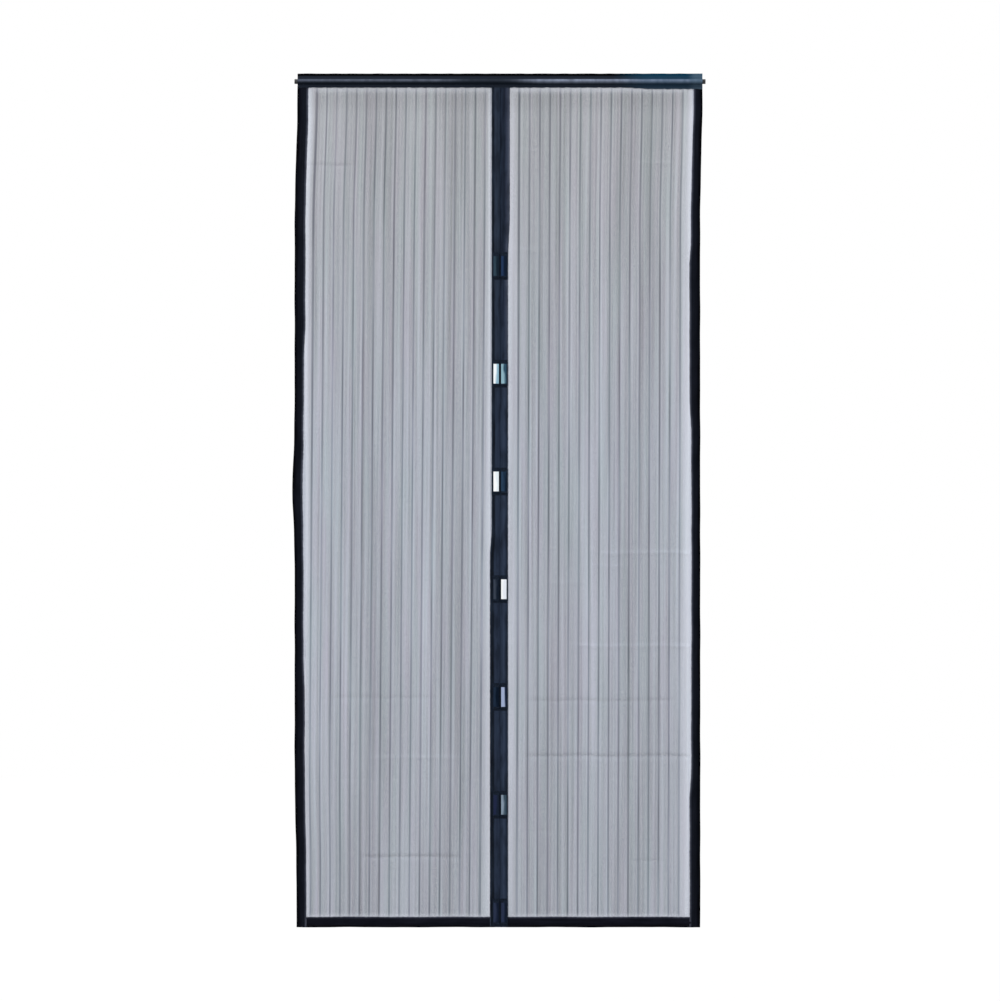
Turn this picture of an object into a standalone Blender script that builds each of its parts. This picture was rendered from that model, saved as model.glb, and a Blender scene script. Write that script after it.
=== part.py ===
"""A magnetic insect screen for a doorway: two net panels, bound with folded woven tape, that hang
from a rod through a sleeve along their top edge and close down the middle with pairs of bar magnets.

Metres, +Z up. The origin is the middle of the rod's axis, X runs along the rod, and the front of the
screen faces -Y. Left and right are as seen from the front."""

import math

import bmesh
import bpy
from mathutils import Matrix

# The whole screen
SCREEN_WIDTH = 0.996
SCREEN_HEIGHT = 2.100
SEAM_GAP = 0.001
CLEARANCE = 0.0003

# Cloth: the net, the woven stripes that stand up from it, and the tape that is folded over its edges
NET_THICKNESS = 0.0006
STRIPE_THICKNESS = 0.0011
STRIPE_WIDTH = 0.004
STRIPE_PITCH = 0.025
TAPE_THICKNESS = 0.0006
SIDE_BINDING_WIDTH = 0.020
CENTRE_BINDING_WIDTH = 0.021
BOTTOM_BINDING_WIDTH = 0.024

# The openings of the net, drawn as upright slots between the stripes
SLOT_WIDTH = 0.008
SLOT_ROWS = 7
SLOT_BAR = 0.020

# The sleeve: a flat heading, the pocket round the rod and a hem over the top edge of the net
HEADING_HEIGHT = 0.013
HEM_HEIGHT = 0.0085
SEAM_STITCH = 0.0012
WRAP_ANGLE = math.radians(70)

# The hanging rod, a tube with a plug in each end
ROD_DIAMETER = 0.012
ROD_WALL = 0.001
ROD_OVERHANG = 0.0075
PLUG_HEAD = 0.003
PLUG_SPIGOT = 0.012
PLUG_CHAMFER = 0.0006

# The bar magnets and the cloth pockets that hold them on the centre bindings
MAGNET_PAIRS = 7
MAGNET_PITCH = 0.265
LOWEST_MAGNET = 0.0364
MAGNET_FROM_SEAM = 0.0098
MAGNET_SIZE = (0.015, 0.0546, 0.003)
MAGNET_ROUNDING = 0.0006
POCKET_SIZE = (0.018, 0.068)
POCKET_LIP = 0.0008
POCKET_SLOPE = 0.002
POCKET_ROUNDING = 0.0006

# How finely the round parts are drawn
ROD_SIDES = 32
PLUG_SIDES = 24
FOLD_STEPS = 6
WRAP_STEPS = 12
MAGNET_EDGE_STEPS = 2
SHARP_ANGLE = math.radians(20)
WELD_DISTANCE = 0.00001

# What follows from the sizes above
ROD_RADIUS = ROD_DIAMETER / 2
LEAF_INSIDE = STRIPE_THICKNESS / 2 + CLEARANCE
LEAF_OUTSIDE = LEAF_INSIDE + TAPE_THICKNESS
ROD_POCKET_INSIDE = ROD_RADIUS + CLEARANCE
ROD_POCKET_OUTSIDE = ROD_POCKET_INSIDE + TAPE_THICKNESS
SCREEN_TOP = ROD_POCKET_OUTSIDE + HEADING_HEIGHT
SCREEN_BOTTOM = SCREEN_TOP - SCREEN_HEIGHT
SLOT_TOP = -ROD_POCKET_INSIDE - SEAM_STITCH
NET_TOP = SLOT_TOP - CLEARANCE
HEM_BOTTOM = SLOT_TOP - HEM_HEIGHT
BINDING_TOP = HEM_BOTTOM - CLEARANCE
NET_IN_FOLD = TAPE_THICKNESS + CLEARANCE
NET_BOTTOM = SCREEN_BOTTOM + NET_IN_FOLD
OUTER_EDGE = SCREEN_WIDTH / 2
SEAM_EDGE = SEAM_GAP / 2
OPEN_FROM_SEAM = SEAM_EDGE + CENTRE_BINDING_WIDTH
OPEN_TO_SIDE = OUTER_EDGE - SIDE_BINDING_WIDTH
OPEN_BOTTOM = SCREEN_BOTTOM + BOTTOM_BINDING_WIDTH

# Turns that lay a piece drawn in its own X, Y and Z along the rod, or with its face to the front
ALONG_ROD = (math.pi / 2, 0.0, math.pi / 2)
FACING_FRONT = (math.pi / 2, 0.0, 0.0)


def clear_scene():
    for old in list(bpy.data.objects):
        bpy.data.objects.remove(old)


def make_material(name, colour, roughness, metallic):
    made = bpy.data.materials.new(name)
    made.use_nodes = True
    shader = made.node_tree.nodes["Principled BSDF"]
    shader.inputs["Base Color"].default_value = (*colour, 1.0)
    shader.inputs["Roughness"].default_value = roughness
    shader.inputs["Metallic"].default_value = metallic
    made.diffuse_color = (*colour, 1.0)
    return made


def place(name, data, material, where=(0.0, 0.0, 0.0), turn=(0.0, 0.0, 0.0)):
    """An object of the screen, with its material, under the screen's empty."""
    made = bpy.data.objects.new(name, data)
    made.location = where
    made.rotation_euler = turn
    if not data.materials:
        data.materials.append(material)
    SCREEN.objects.link(made)
    made.parent = HANGER
    return made


def arc(middle, radius, start, end, steps):
    """Points along a circle, from one angle to another."""
    points = []
    for step in range(steps + 1):
        angle = start + (end - start) * step / steps
        across = middle[0] + radius * math.cos(angle)
        up = middle[1] + radius * math.sin(angle)
        points.append((across, up))
    return points


def run_of(name, outlines, length, material, where, turn):
    """A length of cloth or tape: a flat outline, with any hole in it, extruded along its own Z."""
    curve = bpy.data.curves.new(name, "CURVE")
    curve.dimensions = "2D"
    curve.fill_mode = "BOTH"
    curve.extrude = length / 2
    for outline in outlines:
        spline = curve.splines.new("POLY")
        spline.points.add(len(outline) - 1)
        for point, (across, up) in zip(spline.points, outline):
            point.co = (across, up, 0.0, 1.0)
        spline.use_cyclic_u = True
    return place(name, curve, material, where, turn)


def binding_section(width):
    """Tape folded in half: the fold is round and at the origin, and the two leaves run to +X."""
    middle = (LEAF_OUTSIDE, 0.0)
    up, down = math.pi / 2, 3 * math.pi / 2
    outside = arc(middle, LEAF_OUTSIDE, down, up, FOLD_STEPS)
    inside = arc(middle, LEAF_INSIDE, up, down, FOLD_STEPS)
    free_ends_up = [(width, LEAF_OUTSIDE), (width, LEAF_INSIDE)]
    free_ends_down = [(width, -LEAF_INSIDE), (width, -LEAF_OUTSIDE)]
    return outside + free_ends_up + inside + free_ends_down


def sleeve_section():
    """The sleeve from its end, across and up: heading, rod pocket and hem. The hem is open below."""
    leaf = TAPE_THICKNESS
    turn = math.sin(WRAP_ANGLE)
    heading_foot = (ROD_POCKET_OUTSIDE - leaf * math.cos(WRAP_ANGLE)) / turn
    hem_head = -(ROD_POCKET_OUTSIDE - LEAF_OUTSIDE * math.cos(WRAP_ANGLE)) / turn
    top_fold = arc((0.0, SCREEN_TOP - leaf), leaf, math.pi, 0.0, FOLD_STEPS)
    back = [(leaf, heading_foot)]
    back += arc((0.0, 0.0), ROD_POCKET_OUTSIDE, WRAP_ANGLE, -WRAP_ANGLE, WRAP_STEPS)
    back += [(LEAF_OUTSIDE, hem_head), (LEAF_OUTSIDE, HEM_BOTTOM)]
    back += [(LEAF_INSIDE, HEM_BOTTOM), (LEAF_INSIDE, SLOT_TOP)]
    front = [(-across, up) for across, up in reversed(back)]
    return top_fold + back + front


def make_sleeve():
    rod_passage = arc((0.0, 0.0), ROD_POCKET_INSIDE, 0.0, 2 * math.pi, ROD_SIDES)[:-1]
    run_of("top_sleeve", [sleeve_section(), rod_passage], SCREEN_WIDTH, TAPE, (0, 0, 0), ALONG_ROD)


def make_rod():
    length = SCREEN_WIDTH + 2 * (ROD_OVERHANG - PLUG_HEAD - CLEARANCE)
    tube = bmesh.new()
    bmesh.ops.create_cone(
        tube,
        cap_ends=False,
        segments=ROD_SIDES,
        radius1=ROD_RADIUS,
        radius2=ROD_RADIUS,
        depth=length,
    )
    mesh = bpy.data.meshes.new("hanging_rod")
    tube.to_mesh(mesh)
    tube.free()
    mesh.shade_smooth()
    rod = place("hanging_rod", mesh, LACQUER, turn=(0.0, math.pi / 2, 0.0))
    wall = rod.modifiers.new("wall", "SOLIDIFY")
    wall.thickness = ROD_WALL
    wall.offset = -1.0
    wall.use_even_offset = True


def make_plug(name, side):
    """A turned plug: a head as wide as the tube and a spigot that goes into it."""
    spigot_radius = ROD_RADIUS - ROD_WALL - CLEARANCE
    outer_end = SCREEN_WIDTH / 2 + ROD_OVERHANG
    profile = [
        (0.0, PLUG_HEAD),
        (ROD_RADIUS - PLUG_CHAMFER, PLUG_HEAD),
        (ROD_RADIUS, PLUG_HEAD - PLUG_CHAMFER),
        (ROD_RADIUS, 0.0),
        (spigot_radius, 0.0),
        (spigot_radius, -PLUG_SPIGOT),
        (0.0, -PLUG_SPIGOT),
    ]
    mesh = bpy.data.meshes.new(name)
    edges = [(first, first + 1) for first in range(len(profile) - 1)]
    mesh.from_pydata([(out, 0.0, up) for out, up in profile], edges, [])
    turn = (0.0, side * math.pi / 2, 0.0)
    plug = place(name, mesh, PLASTIC, (side * (outer_end - PLUG_HEAD), 0.0, 0.0), turn)
    turned = plug.modifiers.new("turned", "SCREW")
    turned.steps = PLUG_SIDES
    turned.render_steps = PLUG_SIDES
    turned.use_merge_vertices = True
    turned.merge_threshold = WELD_DISTANCE


def make_upright_binding(name, width, fold, leaves):
    """A binding from the bottom of the screen to the hem, with its fold at X = `fold`. Its leaves
    run towards +X where `leaves` is 1, and towards -X where it is -1."""
    length = BINDING_TOP - SCREEN_BOTTOM
    where = (fold, 0.0, SCREEN_BOTTOM + length / 2)
    turn = (0.0, 0.0, 0.0 if leaves > 0 else math.pi)
    run_of(name, [binding_section(width)], length, TAPE, where, turn)


def make_side_binding(name, side):
    make_upright_binding(name, SIDE_BINDING_WIDTH, side * OUTER_EDGE, -side)


def make_centre_binding(name, side):
    make_upright_binding(name, CENTRE_BINDING_WIDTH, side * SEAM_EDGE, side)


def make_bottom_binding(name, side):
    """A level binding with its fold at the bottom, between the two upright ones of its panel."""
    section = [(depth, up) for up, depth in binding_section(BOTTOM_BINDING_WIDTH)]
    length = OPEN_TO_SIDE - OPEN_FROM_SEAM - 2 * CLEARANCE
    where = (side * (OPEN_FROM_SEAM + OPEN_TO_SIDE) / 2, 0.0, SCREEN_BOTTOM)
    run_of(name, [section], length, TAPE, where, ALONG_ROD)


def stripe_places(left, right):
    """Where the woven stripes of a panel lie: evenly spaced about the middle of the open net."""
    count = int((right - left) / STRIPE_PITCH)
    first = (left + right) / 2 - (count - 1) * STRIPE_PITCH / 2
    return [first + number * STRIPE_PITCH for number in range(count)]


def slot_rows(low, high):
    """The lower and upper end of each row of slots, with a bar of plain net between rows."""
    height = (high - low - (SLOT_ROWS + 1) * SLOT_BAR) / SLOT_ROWS
    starts = [low + SLOT_BAR + number * (height + SLOT_BAR) for number in range(SLOT_ROWS)]
    return [(start, start + height) for start in starts]


def make_net(name, side):
    """A net panel: one wall of cloth with upright stripes that stand up from both faces, and slots
    between them. A grid has its lines moved to the stripes and slots, and Solidify gives it its
    thickness, which is full only on the crest of a stripe."""
    left, right = sorted((side * (SEAM_EDGE + NET_IN_FOLD), side * (OUTER_EDGE - NET_IN_FOLD)))
    stripes = stripe_places(*sorted((side * OPEN_FROM_SEAM, side * OPEN_TO_SIDE)))
    middles = [stripe + STRIPE_PITCH / 2 for stripe in stripes[:-1]]
    slots = [(middle - SLOT_WIDTH / 2, middle + SLOT_WIDTH / 2) for middle in middles]
    rows = slot_rows(OPEN_BOTTOM, HEM_BOTTOM)

    columns = [left, right, *stripes]
    for stripe in stripes:
        columns += [stripe - STRIPE_WIDTH / 2, stripe + STRIPE_WIDTH / 2]
    for slot in slots:
        columns += slot
    columns.sort()
    levels = [NET_BOTTOM, NET_TOP]
    for row in rows:
        levels += row
    levels.sort()

    net = bmesh.new()
    across, up = len(columns) - 1, len(levels) - 1
    bmesh.ops.create_grid(net, x_segments=across, y_segments=up, size=0.5)
    for vertex in net.verts:
        column = round((vertex.co.x + 0.5) * across)
        level = round((vertex.co.y + 0.5) * up)
        vertex.co = (columns[column], 0.0, levels[level])

    def is_open(face):
        middle = face.calc_center_median()
        in_slot = any(low < middle.x < high for low, high in slots)
        in_row = any(low < middle.z < high for low, high in rows)
        return in_slot and in_row

    openings = [face for face in net.faces if is_open(face)]
    bmesh.ops.delete(net, geom=openings, context="FACES")
    mesh = bpy.data.meshes.new(name)
    net.to_mesh(mesh)
    net.free()
    panel = place(name, mesh, NET)

    def on_crest(vertex):
        return any(abs(vertex.co.x - stripe) < CLEARANCE for stripe in stripes)

    crest_group = panel.vertex_groups.new(name="stripe_crest")
    crests = [vertex.index for vertex in mesh.vertices if on_crest(vertex)]
    crest_group.add(crests, 1.0, "REPLACE")
    cloth = panel.modifiers.new("cloth", "SOLIDIFY")
    cloth.thickness = STRIPE_THICKNESS
    cloth.offset = 0.0
    cloth.vertex_group = crest_group.name
    cloth.thickness_vertex_group = NET_THICKNESS / STRIPE_THICKNESS


def magnet_mesh():
    """A flat bar with its edges eased, lying in X and Y with its back at Z = 0."""
    bar = bmesh.new()
    width, length, thickness = MAGNET_SIZE
    size = Matrix.Diagonal((width, length, thickness, 1.0))
    bmesh.ops.create_cube(bar, size=1.0, matrix=Matrix.Translation((0, 0, thickness / 2)) @ size)
    bmesh.ops.bevel(
        bar,
        geom=bar.edges[:],
        offset=MAGNET_ROUNDING,
        segments=MAGNET_EDGE_STEPS,
        profile=0.5,
        affect="EDGES",
    )
    mesh = bpy.data.meshes.new("bar_magnet")
    bar.to_mesh(mesh)
    bar.free()
    return mesh


def pocket_mesh():
    """The outer surface of a magnet's pocket: a flange on the tape, a collar round the magnet, with
    sloping ends, and a lip over its edges with a window between. Solidify makes it cloth inwards."""
    width, length, thickness = MAGNET_SIZE
    top_half = (width / 2 + CLEARANCE + TAPE_THICKNESS, length / 2 + CLEARANCE + TAPE_THICKNESS)
    foot_half = (top_half[0], top_half[1] + POCKET_SLOPE)
    window_half = (width / 2 - POCKET_LIP, length / 2 - POCKET_LIP)
    outer_half = (POCKET_SIZE[0] / 2, POCKET_SIZE[1] / 2)
    top = thickness + CLEARANCE + TAPE_THICKNESS

    def stands_out(edge):
        return edge.is_convex and edge.calc_face_angle() > SHARP_ANGLE

    def stand_at(vertices, half, height):
        for vertex in vertices:
            vertex.co.x = math.copysign(half[0], vertex.co.x)
            vertex.co.y = math.copysign(half[1], vertex.co.y)
            vertex.co.z = height

    pocket = bmesh.new()
    bmesh.ops.create_grid(pocket, x_segments=1, y_segments=1, size=1.0)
    pocket.faces.ensure_lookup_table()
    middle = pocket.faces[0]
    stand_at(middle.verts, outer_half, TAPE_THICKNESS)
    for half, height in ((foot_half, TAPE_THICKNESS), (top_half, top), (window_half, top)):
        bmesh.ops.inset_individual(pocket, faces=[middle], thickness=CLEARANCE)
        stand_at(middle.verts, half, height)
    bmesh.ops.delete(pocket, geom=[middle], context="FACES_ONLY")
    bmesh.ops.bevel(
        pocket,
        geom=[edge for edge in pocket.edges if len(edge.link_faces) == 2 and stands_out(edge)],
        offset=POCKET_ROUNDING,
        segments=1,
        affect="EDGES",
    )
    mesh = bpy.data.meshes.new("magnet_pocket")
    pocket.to_mesh(mesh)
    pocket.free()
    return mesh


def make_magnets():
    bar = magnet_mesh()
    cover = pocket_mesh()
    on_tape = -(LEAF_OUTSIDE + CLEARANCE)
    for number in range(1, MAGNET_PAIRS + 1):
        height = SCREEN_BOTTOM + LOWEST_MAGNET + (MAGNET_PAIRS - number) * MAGNET_PITCH
        for side_name, side in (("left", -1), ("right", 1)):
            where = (side * MAGNET_FROM_SEAM, on_tape, height)
            place(f"magnet_{side_name}_{number}", bar, NICKEL, where, FACING_FRONT)
            pocket = place(f"magnet_pocket_{side_name}_{number}", cover, TAPE, where, FACING_FRONT)
            cloth = pocket.modifiers.new("cloth", "SOLIDIFY")
            cloth.thickness = TAPE_THICKNESS
            cloth.offset = -1.0
            cloth.use_even_offset = True


clear_scene()
SCREEN = bpy.data.collections.new("magnetic_insect_screen")
bpy.context.scene.collection.children.link(SCREEN)
HANGER = bpy.data.objects.new("screen", None)
SCREEN.objects.link(HANGER)

NET = make_material("striped_net", (0.36, 0.38, 0.42), 0.85, 0.0)
TAPE = make_material("woven_tape", (0.020, 0.026, 0.042), 0.70, 0.0)
NICKEL = make_material("nickel_plate", (0.66, 0.70, 0.74), 0.18, 1.0)
LACQUER = make_material("black_lacquer", (0.010, 0.012, 0.016), 0.25, 0.0)
PLASTIC = make_material("black_plastic", (0.014, 0.016, 0.020), 0.45, 0.0)

make_sleeve()
make_rod()
for side_name, side in (("left", -1), ("right", 1)):
    make_plug(f"rod_plug_{side_name}", side)
    make_side_binding(f"side_binding_{side_name}", side)
    make_centre_binding(f"centre_binding_{side_name}", side)
    make_bottom_binding(f"bottom_binding_{side_name}", side)
    make_net(f"net_{side_name}", side)
make_magnets()
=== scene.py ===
# %% [markdown]
# # Dressing a magnetic insect screen
#
# The frame holds the true sizes of a door curtain: two net panels with bound edges, a sleeve with
# a rod in it, and seven pairs of bar magnets down the middle. The rod, its plugs and the magnets
# are hard and keep their solids. Everything that is cloth is modelled again, because cloth sags,
# puckers and lets light through.

# %% Load the frame
import math

import bpy
import numpy as np
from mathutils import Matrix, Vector


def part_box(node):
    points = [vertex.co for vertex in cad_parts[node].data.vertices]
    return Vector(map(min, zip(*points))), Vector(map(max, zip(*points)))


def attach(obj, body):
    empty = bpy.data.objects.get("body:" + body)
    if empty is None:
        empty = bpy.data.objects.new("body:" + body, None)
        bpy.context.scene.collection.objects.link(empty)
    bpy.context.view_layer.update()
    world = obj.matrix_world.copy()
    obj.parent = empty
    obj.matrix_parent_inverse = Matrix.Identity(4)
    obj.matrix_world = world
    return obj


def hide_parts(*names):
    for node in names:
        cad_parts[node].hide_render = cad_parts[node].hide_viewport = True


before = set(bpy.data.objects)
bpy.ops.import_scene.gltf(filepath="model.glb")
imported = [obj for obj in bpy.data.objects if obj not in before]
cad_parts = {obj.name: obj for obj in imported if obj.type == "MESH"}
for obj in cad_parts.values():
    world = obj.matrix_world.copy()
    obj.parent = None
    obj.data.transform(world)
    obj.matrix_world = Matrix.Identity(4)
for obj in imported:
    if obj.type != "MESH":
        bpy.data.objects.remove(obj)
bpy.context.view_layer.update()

# %% [markdown]
# ## Sizes
#
# Every place below is read from the frame's boxes. Only what the frame doesn't hold is given
# here, such as the thickness of the real cloth, which is thinner than the solids.

# %% Places read from the frame
MM = 0.001

SLEEVE_LOW, SLEEVE_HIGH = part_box("top_sleeve")
SIDE_LOW, SIDE_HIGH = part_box("side_binding_left")
CENTRE_LOW, CENTRE_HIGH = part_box("centre_binding_left")
BOTTOM_LOW, BOTTOM_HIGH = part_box("bottom_binding_left")
NET_LOW, NET_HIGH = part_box("net_left")
POCKET_LOW, POCKET_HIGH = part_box("magnet_pocket_left_1")
MAGNET_LOW, MAGNET_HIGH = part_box("magnet_left_1")

HEM_BOTTOM = SLEEVE_LOW.z
SCREEN_BOTTOM = SIDE_LOW.z
OUTER_EDGE = -SIDE_LOW.x
OPEN_FROM_SEAM = -CENTRE_LOW.x
OPEN_TO_SIDE = -SIDE_HIGH.x
SIDES = (("left", -1), ("right", 1))
PAIRS = range(1, 8)
print("the open net of a panel is", round(OPEN_TO_SIDE - OPEN_FROM_SEAM, 4), "metres wide")

# %% Cloth that the frame doesn't describe
TAPE_CLOTH = 0.5 * MM
FOLD_RADIUS = SIDE_HIGH.y - 0.3 * MM
STRIPE_PITCH = 25 * MM
STRIPE_COUNT = 18
STRIPE_WIDTH = 4 * MM

# %% [markdown]
# ## Small helpers
#
# Three things come up for every piece: nothing may stay selected before an operator runs, points
# are read and written as one array, and a modifier is applied as soon as it is set.

# %% Helpers for modelling
def deselect():
    if bpy.context.object and bpy.context.object.mode != "OBJECT":
        bpy.ops.object.mode_set(mode="OBJECT")
    bpy.ops.object.select_all(action="DESELECT")


def only(piece):
    deselect()
    piece.select_set(True)
    bpy.context.view_layer.objects.active = piece


def points_of(piece):
    flat = np.empty(len(piece.data.vertices) * 3)
    piece.data.vertices.foreach_get("co", flat)
    return flat.reshape(-1, 3)


def set_points(piece, points):
    piece.data.vertices.foreach_set("co", np.asarray(points, dtype=np.float32).ravel())
    piece.data.update()


def finish_with(piece, kind, **settings):
    """Adds one modifier and applies it."""
    only(piece)
    modifier = piece.modifiers.new(kind.lower(), kind)
    for name, value in settings.items():
        setattr(modifier, name, value)
    bpy.ops.object.modifier_apply(modifier=modifier.name)


def smooth(value):
    """0 below 0 and 1 above 1, with a soft start and end between them."""
    value = np.clip(value, 0.0, 1.0)
    return value * value * (3 - 2 * value)


# %% [markdown]
# ## How the curtain hangs
#
# The rod and the magnets pull the top edge and the middle seam straight. The outer half of each
# panel is only light net, so it drifts a few millimetres to the left below the rod and falls into
# shallow upright folds. A cloth simulation leaves a flat hanging sheet flat, so drift and folds
# are written down as one function. Every piece that hangs goes through it, so what is sewn
# together stays together.

# %% The shape of the hanging cloth
DRIFT = {-1: -7.0 * MM, 1: -5.7 * MM}
DRIFT_DROP = 0.34
BULGE_HEIGHT, BULGE_REACH, BULGE_SIZE = -1.0, 0.10, -5.5 * MM
RETURN_HEIGHT, RETURN_SIZE = -1.78, 4.5 * MM
FOLD_DROP = 0.75
FOLDS = (
    # depth, width and start of each upright fold, and how far it leans over the height
    (3.6 * MM, 0.236, 0.10, 0.16),
    (2.2 * MM, 0.131, 0.55, -0.21),
    (1.0 * MM, 0.071, 0.30, 0.33),
)


def hang(points):
    """Moves points of straight, flat cloth to where the hanging cloth has them."""
    x, y, z = np.array(points, dtype=float).reshape(-1, 3).T
    drop = HEM_BOTTOM - z
    outward = smooth((np.abs(x) - OPEN_FROM_SEAM) / (OUTER_EDGE - OPEN_FROM_SEAM))
    drift = np.where(x < 0, DRIFT[-1], DRIFT[1])
    at_edge = smooth((np.abs(x) - OPEN_TO_SIDE + 12 * MM) / (30 * MM))
    bulge = BULGE_SIZE * np.exp(-(((z - BULGE_HEIGHT) / BULGE_REACH) ** 2)) * at_edge
    back = RETURN_SIZE * smooth((RETURN_HEIGHT + 0.1 - z) / 0.3) * outward ** 4
    drift = (drift + np.where(x < 0, bulge + back, 0.0)) * smooth(drop / DRIFT_DROP)
    depth = np.zeros_like(x)
    for size, width, start, lean in FOLDS:
        turn = 2 * math.pi * (x / width + start + lean * z)
        depth += size * np.sin(turn + 0.8 * np.sin(1.9 * z + start * 9))
    calm = smooth((np.abs(x) - OPEN_FROM_SEAM) / 0.07)
    depth *= calm * smooth(drop / FOLD_DROP)
    return np.column_stack([x + drift * outward, y + depth, z])


drifted = hang([(-OUTER_EDGE, 0, -1.0)])[0, 0] + OUTER_EDGE
print("the side edge drifts by", round(drifted, 4), "m at half height")

# %% [markdown]
# ## A strip of cloth
#
# Net and tapes start alike, as a grid primitive. Its lines are moved to where the flat cloth needs
# them, and then to where the cloth lies in the frame. The UV map keeps the places on the flat
# cloth, in metres, so that a weave drawn on it follows every fold and has its real scale.

# %% The helper that lays a strip of cloth
def strip_of_cloth(name, across, along, lay):
    """A strip whose lines lie at `across` and `along` on the flat cloth. `lay` turns such places,
    as two arrays, into points of the frame."""
    deselect()
    columns, rows = len(across) - 1, len(along) - 1
    bpy.ops.mesh.primitive_grid_add(x_subdivisions=columns, y_subdivisions=rows, size=1.0)
    piece = bpy.context.object
    piece.name = name
    piece.data.name = name
    grid = points_of(piece)
    u = np.asarray(across)[np.rint((grid[:, 0] + 0.5) * columns).astype(int)]
    v = np.asarray(along)[np.rint((grid[:, 1] + 0.5) * rows).astype(int)]
    set_points(piece, lay(u, v))
    corners = np.empty(len(piece.data.loops), dtype=int)
    piece.data.loops.foreach_get("vertex_index", corners)
    cloth_map = piece.data.uv_layers.active
    cloth_map.name = "cloth"
    cloth_map.uv.foreach_set("vector", np.column_stack([u, v])[corners].astype(np.float32).ravel())
    return piece


def steps(start, end, size):
    """Evenly spaced places from start to end, no further apart than size."""
    return np.linspace(start, end, max(2, math.ceil(abs(end - start) / size) + 1))


# %% [markdown]
# ## Ripples
#
# Sewn cloth is never quite flat: each stitch draws it in a little. Sums of a few sines of unlike
# lengths look uneven enough and need no random numbers.

# %% The helper for ripples
def ripples(where, width, seed):
    """Uneven waves from about -1 to 1 along `where`, each about as long as width."""
    total = np.zeros_like(where)
    for share, stretch, shift in ((0.5, 1.0, 0.0), (0.3, 0.618, 1.7), (0.2, 1.71, 4.1)):
        total += share * np.sin(2 * math.pi * where / (width * stretch) + seed * 2.3 + shift)
    return total


# %% [markdown]
# ## Net panels
#
# Each panel is one piece of knitted polyester net, with a stripe of thicker yarn every 25 mm. The
# mesh follows the stripes with three lines each, and the middle one gets more thickness, so a
# stripe is a real ridge on both faces. The net between them is too fine for geometry and becomes a
# see-through pattern in its material. Extra rows carry the creases left from the packing.

# %% Lines of the net
CREASES = (
    # height, from and to along the rod, and size: above 0 a ridge with a painted highlight on its
    # crest, below 0 a groove in painted shade
    (-0.168, 0.01, 0.13, 0.5),
    (-0.198, 0.31, 0.43, 0.7),
    (-0.203, -0.49, -0.34, -0.9),
    (-0.252, -0.21, -0.09, 0.5),
    (-0.412, 0.02, 0.11, 0.8),
    (-1.157, 0.22, 0.48, 0.9),
    (-1.189, 0.20, 0.33, 0.5),
    (-1.231, 0.09, 0.20, 0.6),
    (-1.386, 0.16, 0.48, 0.9),
    (-1.514, -0.43, -0.14, -0.7),
    (-1.521, 0.04, 0.44, -0.9),
    (-1.657, 0.04, 0.48, -1.3),
    (-1.661, -0.32, -0.07, 0.7),
    (-1.841, 0.07, 0.14, -0.7),
    (-1.905, -0.35, -0.07, -1.4),
    (-1.915, 0.31, 0.41, -0.8),
)
CREASE_REACH = 4 * MM
CREASE_DEPTH = 1.2 * MM


def stripe_places(side):
    """Where the stripes of a panel lie, from left to right."""
    middle = side * (OPEN_TO_SIDE + OPEN_FROM_SEAM) / 2
    return middle + STRIPE_PITCH * (np.arange(STRIPE_COUNT) - (STRIPE_COUNT - 1) / 2)


def net_columns(side):
    """The upright lines of a panel, first worked out for the left one."""
    stripes = stripe_places(-1)
    columns = [NET_LOW.x, -OPEN_TO_SIDE, -OPEN_FROM_SEAM, NET_HIGH.x]
    columns += [-OPEN_TO_SIDE + 7 * MM, -OPEN_FROM_SEAM - 7 * MM]
    for stripe in stripes:
        columns += [stripe - STRIPE_WIDTH / 2, stripe, stripe + STRIPE_WIDTH / 2]
    for stripe in stripes[:-1]:
        columns += [stripe + STRIPE_PITCH * 0.36, stripe + STRIPE_PITCH * 0.64]
    return np.sort(-side * np.array(columns))


def creases_of(side):
    return [one for one in CREASES if one[1] * side > 0]


def net_rows(side):
    rows = list(steps(NET_LOW.z, NET_HIGH.z, 11 * MM))
    for height, *_rest in creases_of(side):
        rows = [row for row in rows if abs(row - height) > 2 * CREASE_REACH]
        rows += [height + away * CREASE_REACH for away in range(-2, 3)]
    return np.sort(rows)


print(len(net_columns(-1)), "upright lines and", len(net_rows(-1)), "level lines in the left panel")

# %% The two net panels
NET_CLOTH = 0.45 * MM
STRAY = {
    # of the first stripe at the top and at the bottom, and of the last one
    -1: ((13.0 * MM, -1.5 * MM), (1.5 * MM, -14.0 * MM)),
    1: ((11.0 * MM, 4.0 * MM), (13.0 * MM, 7.5 * MM)),
}


def stray(side, x, z):
    """How far along the rod the stripes lie from where they would be if they hung straight."""
    (first_top, first_low), (last_top, last_low) = STRAY[side]
    down = (z - NET_HIGH.z) / (NET_LOW.z - NET_HIGH.z)
    first = first_top + (first_low - first_top) * down
    last = last_top + (last_low - last_top) * down
    stripes = stripe_places(side)
    edges = sorted((side * (OPEN_FROM_SEAM - 2 * MM), side * (OPEN_TO_SIDE + 2 * MM)))
    share = np.clip((x - stripes[0]) / (stripes[-1] - stripes[0]), 0.0, 1.0)
    held = np.clip((x - edges[0]) / (stripes[0] - edges[0]), 0.0, 1.0)
    held *= np.clip((edges[1] - x) / (edges[1] - stripes[-1]), 0.0, 1.0)
    return held * (first + (last - first) * share)


def crease(side, x, z):
    """How far the net stands out at its creases, and the painted light and shade along them."""
    fold, crease_shading = np.zeros_like(x), np.zeros_like(x)
    for height, start, end, size in creases_of(side):
        inside = size * smooth((x - start) / 0.04) * smooth((end - x) / 0.04)
        above = (z - height) / CREASE_REACH
        fold += inside * np.exp(-(above ** 2))
        crease_shading += inside * (np.exp(-(above ** 2)) - 0.5 * np.exp(-((above + 1.4) ** 2)))
    return fold, crease_shading


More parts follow.
